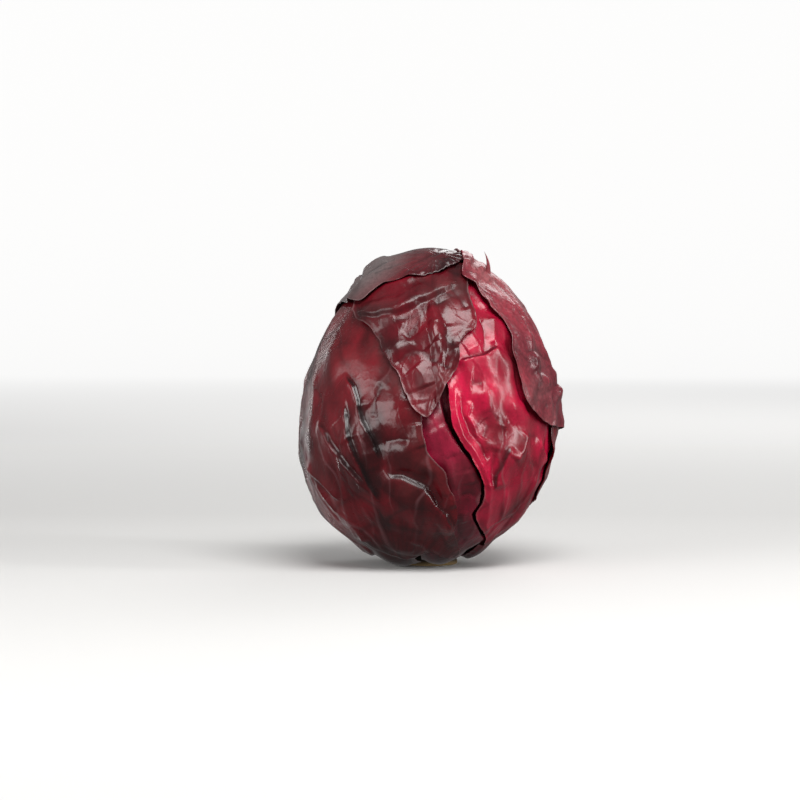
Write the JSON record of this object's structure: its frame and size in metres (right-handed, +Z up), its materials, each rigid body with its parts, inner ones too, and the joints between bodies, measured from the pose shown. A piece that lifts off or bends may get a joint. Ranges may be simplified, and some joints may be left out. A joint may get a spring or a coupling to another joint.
{
  "type": "cabbage head",
  "caption": "Whole egg-shaped head of red cabbage: loose waxy wrapper leaves with folds and free edges over a tight heart, standing on its cut stem.",
  "frame": {"origin": "middle of the stem's cut face, on which the head rests", "axes": "+Z up along the stem and the head, the side with the split between two leaves faces -Y"},
  "size_m": [0.1419, 0.1435, 0.1687],
  "materials": {
    "stem": "satin",
    "heart": "satin",
    "leaf": "waxy gloss"
  },
  "bodies": {
    "root": {"stem": "stem", "heart": "heart", "inner_front_leaf": "leaf", "back_leaf": "leaf", "left_leaf": "leaf", "right_front_leaf": "leaf", "side_leaf": "leaf", "upper_leaf": "leaf", "crown_leaf": "leaf", "right_leaf": "leaf"}
  },
  "joints": []
}
